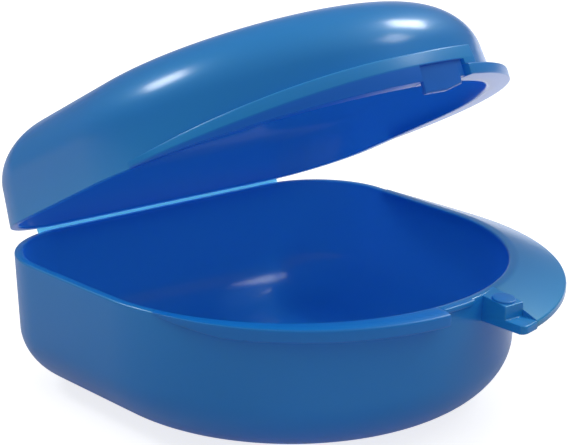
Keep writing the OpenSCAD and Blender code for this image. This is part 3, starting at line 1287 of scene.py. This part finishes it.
    def pip(self) -> Piece:
        """Low round pip on the block's sloped top.

        Returns:
            The piece.
        """
        radius = (self.latch.block_end - self.latch.block) / 2 - self.pip_edge
        bm = bmesh.new()
        bmesh.ops.create_cone(
            bm,
            cap_ends=True,
            segments=self.pip_steps,
            radius1=radius,
            radius2=radius,
            depth=self.pip_height + self.pip_sunk,
        )
        top = max(bm.faces, key=lambda face: face.calc_center_median().z)
        bmesh.ops.bevel(
            bm,
            geom=top.edges[:],
            offset=self.pip_round,
            segments=4,
            profile=0.5,
            affect="EDGES",
            material=-1,
        )
        on_slope = Matrix.Translation((0, self.pip_back + radius, (self.pip_height - self.pip_sunk) / 2))
        tilt = Matrix.Rotation(math.atan(self._block_slope()), 4, "X")
        middle = (self.latch.block + self.latch.block_end) / 2
        corner = Matrix.Translation((middle, self._block_front(), -self.block_drop))
        bmesh.ops.transform(bm, matrix=corner @ tilt @ on_slope, verts=bm.verts[:])
        return Piece("latch_pip_button", "latch_pip", bm, RIM_BLUE_SHADED, even(0.6))

    def bead(self) -> Piece:
        """Bead on the rim that the hook snaps over.

        Returns:
            The piece.
        """
        latch = self.latch
        corners = [
            Corner(-SUNK, -latch.bead_height),
            Corner(-self.bead_root, 0.0),
            Corner(latch.bead_out, 0.0, self.bead_nose),
            Corner(latch.bead_out, -latch.bead_height * self.bead_low, self.bead_under),
        ]
        left = latch.tray_lip_end + self.bead_end
        right = latch.tray_lip_end + latch.bead_length - self.bead_end
        stations = [place.facing(FRONT) for place in self.rim.between(left, right, self.bead_steps)]
        bm, *ends = loft([place.ring(corners) for place in stations])
        for end in ends:
            round_end(bm, end, self.bead_end)
        return Piece("catch_bead", "latch_catch", bm, RIM_BLUE_SHADED, even(0.8))


@dataclass(frozen=True)
class Lid:
    """The shallow domed half of the case and what is moulded on it.

    Attributes:
        rim: Shared outline.
        rim_z: Height of the lid's rim when the case is shut.
        latch: Shared places of the latch.
        lip: Outer arc of the lip.
        height: Height from the rim to the flat top.
        draft: Draft angle of the wall, in degrees.
        end_round: Rounding of the blunt ends.
        root_lean: How much deeper a root sits at its top, where the wall leans in.
        shell_rim_glow: Painted paler tone on the wall at the rim, standing for light, and how it fades
            towards the top.
        flange_width: Width of the thumb flange.
        flange_thickness: Thickness of the thumb flange.
        flange_round: Rounding of its upper edge.
        flange_under: Rounding of its lower edge.
        lip_height: Height of the rim lip at the latch.
        lip_side_height: Height of the lip where it runs out.
        lip_end_height: Height of the lip at its right end.
        lip_face: Share of the lip's height below the crease of its face, where it runs out.
        lip_face_end: The same share where the lip is widest.
        lip_lean: How far the lip's face leans back above the crease.
        lip_round: Rounding of the lip's upper edge.
        lip_foot: Rounding of its lower edge.
        lip_glow: Painted paler tone on the lip above its crease, standing for light on its upper face, and
            how it fades below the crease.
        crease_round: Rounding of the crease.
        crease_land: Height of the straight face below it.
        notch_edge: Distance of the notch from the crease.
        notch_steps: Segments of the lip above the notch.
        stub_edge: How far left of the notch's right end the thin stub begins.
        stub_steps: Segments of that stub.
        hook_thickness: Thickness of the hook.
        hook_drop: How far the hook hangs below the rim.
        hook_rise: How much less it hangs at its right end.
        hook_root: How much higher its root ends than its face.
        hook_round: Rounding of its lower edge.
        hook_neck: Rounding where its inner face meets the rim.
        hook_steps: Segments of the hook.
        barb: How far the barb points inwards.
        barb_least: How far its corner still stands out where it has run out.
        barb_length: Length of the barb before it runs out.
        barb_rounds: Rounding of its underside, its point and its root.
        plate_edge: Rounding of the lower edge of the plate beside the hook.
        plate_bend: Radius with which the plate's underside sags.
        plate_sags: Places across that underside, as shares of its width, and the sag at each.
        plate_steps: Segments of the plate.
        rim_gap: Clearance between the rims when shut.
    """

    rim: Rim
    rim_z: float
    latch: Latch = Latch()
    lip: LipArc = LipArc()
    height: float = 16.2
    draft: float = 4.7
    end_round: float = 0.1
    root_lean: float = 0.2
    shell_rim_glow: PaintedGlowFade = PaintedGlowFade(0.8, fade=9.0)
    flange_width: float = 2.5
    flange_thickness: float = 1.8
    flange_round: float = 0.28
    flange_under: float = 0.15
    lip_height: float = 4.35
    lip_side_height: float = 0.9
    lip_end_height: float = 4.9
    lip_face: float = 0.38
    lip_face_end: float = 0.58
    lip_lean: float = 0.3
    lip_round: float = 0.3
    lip_foot: float = 0.12
    lip_glow: PaintedGlowFade = PaintedGlowFade(0.8, fade=0.4)
    crease_round: float = 0.8
    crease_land: float = 0.35
    notch_edge: float = 0.15
    notch_steps: int = 20
    stub_edge: float = 0.2
    stub_steps: int = 10
    hook_thickness: float = 0.7
    hook_drop: float = 1.75
    hook_rise: float = 0.7
    hook_root: float = 0.05
    hook_round: float = 0.3
    hook_neck: float = 0.1
    hook_steps: int = 32
    barb: float = 0.35
    barb_least: float = 0.01
    barb_length: float = 4.6
    barb_rounds: tuple[float, float, float] = (0.12, 0.1, 0.08)
    plate_edge: float = 0.2
    plate_bend: float = 8.0
    plate_sags: tuple[Point, ...] = ((0.7, 0.03), (0.5, 0.04), (0.3, 0.03), (0.1, 0.02))
    plate_steps: int = 6
    rim_gap: float = 0.2

    def pieces(self) -> list[Piece]:
        """All pieces of the lid, lifted to its rim."""
        made = [self.shell(), self.thumb_flange(), self.rim_lip(), self.hook()]
        return [piece.lift(self.rim_z) for piece in made]

    def _wall(self, up: float) -> float:
        """Distance out of the drafted wall at a height above the rim."""
        return -up * math.tan(math.radians(self.draft))

    def shell(self) -> Piece:
        """The lid itself, a cup turned over.

        Returns:
            The piece.
        """
        cup = Cup(self.height, draft=self.draft, edge_width=13.3, edge_height=10.4, outer_lip=0.15)
        bm = cup.mesh(self.rim)
        bmesh.ops.rotate(bm, verts=bm.verts[:], matrix=Matrix.Rotation(math.pi, 3, "Y"))
        return Piece(
            "lid", "lid_shell", bm, WALL_BLUE, lambda point: self.shell_rim_glow.at(point.z - self.rim_z)
        )

    def _flange_edge(self) -> Circle:
        """Outer edge of the thumb flange."""
        return Circle(self.rim.front_centre, self.rim.front_radius + self.flange_width)

    def _flange_section(self, place: Station) -> list[Corner]:
        """Flat plate with blunt edges, its underside level with the rim.

        Args:
            place: Where the section stands.

        Returns:
            Its corners.
        """
        width = max(place.reach(self._flange_edge()), LEAST)
        return [
            Corner(-RIM_TOP, -COVER),
            Corner(-SUNK - self.root_lean, self.flange_thickness),
            Corner(width, self.flange_thickness, min(self.flange_round, width / 2)),
            Corner(width, 0.0, min(self.flange_under, width / 2)),
        ]

    def thumb_flange(self) -> Piece:
        """Narrow plate on the right half of the front.

        Returns:
            The piece.
        """
        start = self.rim.angle_at(self.latch.notch_end + self.end_round)
        stations = self.rim.arc(start, self.rim.side_angle, ARC_STEPS)
        bm, end, _ = band(stations + self.rim.side_run(self._flange_edge()), self._flange_section)
        round_end(bm, end, self.end_round)
        return Piece("lid_thumb_plate", "lid_thumb_flange", bm, RIM_BLUE_SHADED, even(0.7))

    def _past_latch(self, place: Station) -> float:
        """Share of the way from the latch to the lip's right end, below 0 on the left of the latch."""
        first, last = (self.rim.angle_at(x) for x in (self.latch.left, self.latch.lid_lip_end))
        return (self.rim.angle_of(place.foot) - first) / (last - first)

    def _lip_top(self, place: Station) -> float:
        """Height of the lip's flat top.

        Args:
            place: A station along the lip.

        Returns:
            The height above the rim.
        """
        past = self._past_latch(place)
        if past > 0:
            return mix(self.lip_height, self.lip_end_height, past)
        return mix(self.lip_side_height, self.lip_height, self.lip.share(self.rim, place))

    def _lip_crease(self, place: Station) -> float:
        """Height of the crease in the lip's face."""
        share = 1.0 if self._past_latch(place) > 0 else self.lip.share(self.rim, place)
        return self._lip_top(place) * mix(self.lip_face, self.lip_face_end, share**3)

    def _notch_top(self, place: Station) -> float:
        """Height of the notch under the crease."""
        return self._lip_crease(place) - self.notch_edge

    def _lip_section(self, place: Station, foot: float) -> list[Corner]:
        """Creased face under a flat top.

        Args:
            place: Where the section stands.
            foot: Height of its underside.

        Returns:
            Its corners.
        """
        width = self.lip.width(self.rim, place)
        top = self._lip_top(place)
        crease = max(self._lip_crease(place), foot + self.notch_edge)
        lean = min(self.lip_lean, width / 2)
        under = -RIM_TOP if foot == 0 else -SUNK
        return [
            Corner(under, foot - COVER),
            Corner(self._wall(top) - SUNK, top),
            Corner(width - lean, top, min(self.lip_round, width / 2)),
            Corner(width, crease, self.crease_round),
            Corner(width, max(crease - self.crease_land, mix(foot, crease, 0.5))),
            Corner(width, foot, min(self.lip_foot, width / 2)),
        ]

    def rim_lip(self) -> Piece:
        """Crescent on the left half of the front, with a notch round the hook.

        Returns:
            The piece.
        """
        rim, latch = self.rim, self.latch
        draft = latch.notch_draft
        side = rim.arc(self.lip.tip(rim), rim.angle_at(latch.left), ARC_STEPS)
        notch = rim.between(latch.left + draft, latch.notch_end - draft, self.notch_steps)
        stub = rim.between(latch.notch_end, latch.lid_lip_end, self.stub_steps)
        places = [(place, 0.0) for place in side]
        places += [(place, self._notch_top(place)) for place in notch]
        places += [(place, self.flange_thickness) for place in stub]
        bm, _, end = loft([place.ring(self._lip_section(place, foot)) for place, foot in places])
        round_end(bm, end, self.end_round)
        return Piece("lid_rim_lip_band", "lid_rim_lip", bm, RIM_BLUE_SHADED, self._lip_glow_at)

    def _lip_glow_at(self, point: Vector) -> float:
        """Painted light on the lip: a paler tone all over its stub and above its crease, fading out just
        below the crease, where the darker body colour is painted shade on the lower face.

        Args:
            point: A point on the lip.

        Returns:
            The strength of that tone, which may lie beyond 0 and 1.
        """
        if point.x > self.latch.notch_end - self.stub_edge:
            return 1.0
        crease = self.rim_z + self._lip_crease(self.rim.on_arc(self.rim.angle_of(point)))
        return self.lip_glow.at(crease - point.z)

    def _hook_face(self) -> float:
        """Distance out of the hook's inner face."""
        return self.latch.bead_out + self.latch.gap + self.barb

    def _hook_ends(self) -> tuple[float, float]:
        """Left and right end of the hook."""
        return self.latch.left + self.latch.hook_side, self.latch.block - self.latch.hook_side

    def _root(self, place: Station) -> list[Corner]:
        """Root on the lid's wall, up to the outer face of hook and plate.

        Args:
            place: Where the section stands.

        Returns:
            The first three corners of the section.
        """
        top = self._notch_top(place)
        return [
            Corner(-RIM_TOP, -COVER),
            Corner(-SUNK - self.root_lean, top + self.hook_root),
            Corner(self._hook_face() + self.hook_thickness, top),
        ]

    def _hook_section(self, place: Station) -> list[Corner]:
        """Tongue on the lid's wall with an inward barb, both running out to the right.

        Args:
            place: Where the section stands.

        Returns:
            Its corners.
        """
        left, right = self._hook_ends()
        run = (place.foot.x - left - self.barb_length) / (right - left - self.barb_length)
        run = min(max(run, 0.0), 1.0)
        rise = self.hook_rise * run
        nose = self.barb * (1 - run)
        face = self._hook_face()
        low = rise - self.hook_drop
        under_bead = rise - self.latch.bead_height - self.rim_gap
        under, tip, root = self.barb_rounds
        return self._root(place) + [
            Corner(face + self.hook_thickness, low, self.hook_round),
            Corner(face - nose / 2, low, under),
            Corner(face - nose - self.barb_least, under_bead - 2 * self.latch.gap, tip),
            Corner(face, under_bead, root),
            Corner(face, 0.0, self.hook_neck),
        ]

    def _plate_section(self, place: Station) -> list[Corner]:
        """Plate in the notch beside the hook, about level with the rim.

        Args:
            place: Where the section stands.

        Returns:
            As many corners as the hook has.
        """
        out = self._hook_face() + self.hook_thickness
        underside = [Corner(share * out, -sag, self.plate_bend) for share, sag in self.plate_sags]
        return [*self._root(place), Corner(out, 0.0, self.plate_edge), *underside]

    def hook(self) -> Piece:
        """Hook that snaps over the tray's bead, and the plate beside it.

        Returns:
            The piece.
        """
        left, right = self._hook_ends()
        draft = self.latch.notch_draft
        tongue = self.rim.between(left + self.end_round, right, self.hook_steps)
        plate_end = self.latch.notch_end - draft - self.end_round
        plate = self.rim.between(right + draft, plate_end, self.plate_steps)
        sections = [(place.facing(FRONT), self._hook_section) for place in tongue]
        sections += [(place.facing(FRONT), self._plate_section) for place in plate]
        bm, *ends = loft([place.ring(section(place)) for place, section in sections])
        for end in ends:
            round_end(bm, end, self.end_round)
        # Almost no paler tone on the hook, so its darker body colour is painted shade
        return Piece("hook", "latch_hook", bm, RIM_BLUE_SHADED, even(0.05))


@dataclass(frozen=True)
class FilmHinge:
    """Thin film along the straight back, drawn where it lies at rest.

    Attributes:
        line: A point on the hinge line.
        opened: Angle by which the lid stands open, in radians.
        length: Length of the film.
        thickness: Thickness of the film.
        inner_radius: Inner radius of the film round the hinge line.
        back: Distance of the hinge line behind the back walls.
        sunk: Depth of each foot in its wall.
        steps: Segments of the bend.
    """

    line: Vector
    opened: float
    length: float = 52.0
    thickness: float = 0.4
    inner_radius: float = 0.5
    back: float = 0.3
    sunk: float = 0.4
    steps: int = 28

    @property
    def swing(self) -> Matrix:
        """Turns a direction as the lid has turned."""
        return Matrix.Rotation(-self.opened, 3, "X")

    def film(self) -> Piece:
        """Bends a strip round the hinge line, with a foot on each wall.

        Returns:
            The piece.
        """
        foot = Vector((0, -self.back - self.sunk, 0))
        bm = bmesh.new()
        left = self.line + Vector((-self.length / 2, 0, 0))
        near = bm.verts.new(left + Vector((0, 0, -self.inner_radius)) + foot)
        far = bm.verts.new(left + Vector((0, 0, -self.inner_radius - self.thickness)) + foot)
        edge = bm.edges.new((near, far))
        edge = self._extrude(bm, edge, -foot)
        spun = bmesh.ops.spin(
            bm,
            geom=[edge],
            cent=self.line,
            axis=(1, 0, 0),
            angle=math.pi - self.opened,
            steps=self.steps,
            use_merge=False,
        )
        edge = of_kind(spun["geom_last"], BMEdge)[0]
        self._extrude(bm, edge, self.swing @ foot)
        grown = bmesh.ops.extrude_face_region(bm, geom=bm.faces[:])["geom"]
        bmesh.ops.translate(bm, verts=of_kind(grown, BMVert), vec=(self.length, 0, 0))
        return Piece("hinge_film", "living_hinge", bm, FILM_BLUE_GLOWING, even(0.4))

    @staticmethod
    def _extrude(bm: BMesh, edge: BMEdge, vec: Vector) -> BMEdge:
        """Draws an edge out into a strip.

        Args:
            bm: Mesh of the film.
            edge: The edge.
            vec: How far it is drawn.

        Returns:
            The strip's far edge.
        """
        grown = bmesh.ops.extrude_edge_only(bm, edges=[edge])["geom"]
        bmesh.ops.translate(bm, verts=of_kind(grown, BMVert), vec=vec)
        return of_kind(grown, BMEdge)[0]


# Studio


def stand(made: bpy.types.Object, target: Vector, azimuth: float, elevation: float, distance: float) -> None:
    """Stands a lamp or a camera round the case and turns it to a target.

    Args:
        made: The lamp or camera.
        target: Point that it looks at, in millimetres.
        azimuth: Direction round the case, 0 in front and 90 on the right, in degrees.
        elevation: Height above the horizon, in degrees.
        distance: Distance from the target, in millimetres.
    """
    a, e = math.radians(azimuth), math.radians(elevation)
    back = Vector((math.sin(a) * math.cos(e), -math.cos(a) * math.cos(e), math.sin(e)))
    made.location = (target + back * distance) * MM
    made.rotation_mode = "QUATERNION"
    made.rotation_quaternion = (-back).to_track_quat("-Z", "Y")


@dataclass(frozen=True)
class Softbox:
    """Rectangular studio lamp aimed at the case.

    Attributes:
        name: Name of the lamp.
        azimuth: Direction round the case, in degrees.
        elevation: Height above the horizon, in degrees.
        width: Width in millimetres.
        height: Height in millimetres.
        power: Power in watts.
        distance: Distance from the case, in millimetres.
    """

    name: str
    azimuth: float
    elevation: float
    width: float
    height: float
    power: float
    distance: float = 700.0

    def light(self, target: Vector) -> None:
        """Places the lamp and turns it to its target.

        Args:
            target: Point that it lights, in millimetres.
        """
        data = bpy.data.lights.new(self.name, "AREA")
        data.shape = "RECTANGLE"
        data.size = self.width * MM
        data.size_y = self.height * MM
        data.energy = self.power
        stand(show(self.name, data), target, self.azimuth, self.elevation, self.distance)


@dataclass(frozen=True)
class Studio:
    """White studio round the case and the camera of the photograph.

    Attributes:
        target: Point that the camera looks at, in millimetres.
        distance: Distance of the camera from it, in millimetres.
        azimuth: Camera's direction round the case, in degrees.
        elevation: Camera's height above the horizon, in degrees.
        focal_pixels: Focal length in pixels of the photograph.
        image_width: Width of the photograph in pixels.
        overhead: The ceiling as light.
        fill: The left side as light.
        mirrored: Brightness of the surroundings in gloss.
        mirrored_left: How much brighter they are there on the left.
        backdrop: How much brighter they are there low behind the case.
        passed: Brightness of the surroundings through a wall.
        floor_size: Side of the floor, in metres.
        floor_tone: Tone of the floor.
        floor_gloss_tone: Tone of the floor in gloss.
        floor_roughness: Roughness of the floor.
        floor_lift: Glow of the floor where it is seen.
        floor_mirrored: Share of that glow in gloss.
        floor_right: How much brighter the floor is there on the right.
        floor_passed: Share of that glow through a wall.
        lamps: The softboxes.
    """

    target: Place = (9.05, 13.57, 22.9)
    distance: float = 292.0
    azimuth: float = -39.32
    elevation: float = 16.41
    focal_pixels: float = 1700.0
    image_width: float = 569.0
    overhead: Glow = Glow((0.26, -0.08, 0.96), 1.2, narrow=2.0)
    fill: Glow = Glow((-0.98, 0, 0.2), 0.15)
    mirrored: float = 0.1
    mirrored_left: Glow = Glow((-1, 0, 0), 0.1)
    backdrop: Glow = Glow((0.64, 0.768, 0.02), 0.4, narrow=50.0)
    passed: float = 0.45
    floor_size: float = 6.0
    floor_tone: float = 0.45
    floor_gloss_tone: float = 0.25
    floor_roughness: float = 0.9
    floor_lift: float = 0.8
    floor_mirrored: float = 0.15
    floor_right: Glow = Glow((0.95, 0.31, 0.0), 0.75, narrow=6.0)
    floor_passed: float = 0.3
    lamps: tuple[Softbox, ...] = (
        Softbox("softbox_left", azimuth=-141, elevation=46, width=170, height=170, power=1.25),
        Softbox("softbox_right", azimuth=92, elevation=44, width=160, height=190, power=1.2),
        Softbox("softbox_front", azimuth=55, elevation=45, width=160, height=140, power=0.35),
    )

    def camera(self) -> None:
        """Makes the scene's camera."""
        data = bpy.data.cameras.new("camera")
        data.sensor_fit = "HORIZONTAL"
        data.sensor_width = 36.0
        data.lens = data.sensor_width * self.focal_pixels / self.image_width
        data.clip_start = 0.01
        made = show("camera", data)
        stand(made, Vector(self.target), self.azimuth, self.elevation, self.distance)
        bpy.context.scene.camera = made

    def world(self) -> None:
        """White surroundings: full white where they are seen, a bright ceiling as light."""
        world = bpy.data.worlds.new("white_studio")
        world.use_nodes = True
        wiring = Wiring(world.node_tree)
        light = wiring.glow(self.overhead, wiring.glow(self.fill, 0.0))
        gloss = wiring.glow(self.mirrored_left, wiring.glow(self.backdrop, self.mirrored))
        level = wiring.by_ray(light, {Ray.PASSED: self.passed, Ray.GLOSSY: gloss, Ray.CAMERA: 1.0})
        wiring.fill(world.node_tree.nodes["Background"], {"Color": WHITE, "Strength": level})
        bpy.context.scene.world = world

    def floor(self) -> None:
        """Pale floor that keeps a faint shadow."""
        material = bpy.data.materials.new("pale_floor")
        material.use_nodes = True
        wiring = Wiring(material.node_tree)
        levels = {
            Ray.PASSED: self.floor_passed * self.floor_lift,
            Ray.GLOSSY: wiring.glow(self.floor_right, self.floor_mirrored * self.floor_lift),
            Ray.CAMERA: self.floor_lift,
        }
        wiring.fill(
            material.node_tree.nodes["Principled BSDF"],
            {
                "Base Color": wiring.by_ray(self.floor_tone, {Ray.GLOSSY: self.floor_gloss_tone}),
                "Roughness": self.floor_roughness,
                "Emission Color": WHITE,
                "Emission Strength": wiring.by_ray(0.0, levels),
            },
        )
        bm = bmesh.new()
        bmesh.ops.create_grid(bm, x_segments=1, y_segments=1, size=self.floor_size / 2)
        show("floor", as_mesh("floor", bm, material))

    def build(self) -> None:
        """Makes the camera, the surroundings, the floor and the lamps."""
        self.camera()
        self.world()
        self.floor()
        for lamp in self.lamps:
            lamp.light(Vector(self.target))
        bpy.context.scene.view_settings.view_transform = "Standard"


def main() -> None:
    """Builds the case and its studio."""
    logging.basicConfig(level=logging.INFO, format="%(message)s")
    Studio().build()
    low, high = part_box("base_shell")
    rim = Rim(width=(high.x - low.x) / MM, length=(high.y - low.y) / MM)
    hinge = frame["joints"][0]
    line = Vector(hinge["pos_m"]) / MM
    opened = -math.radians(hinge["range_deg"][0])
    rim_z = high.z / MM
    kit = NodeKit()
    for piece in Tray(rim, rim_z).pieces():
        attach(piece.place(kit, Matrix.Identity(4)), Body.TRAY.value)
    about_line = Matrix.Translation(line) @ Matrix.Rotation(-opened, 4, "X") @ Matrix.Translation(-line)
    for piece in Lid(rim, 2 * line.z - rim_z).pieces():
        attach(piece.place(kit, about_line), Body.LID.value)
    film = FilmHinge(line, opened)
    strip = film.film().place(kit, Matrix.Identity(4))
    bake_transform(strip)


if __name__ == "__main__":
    main()
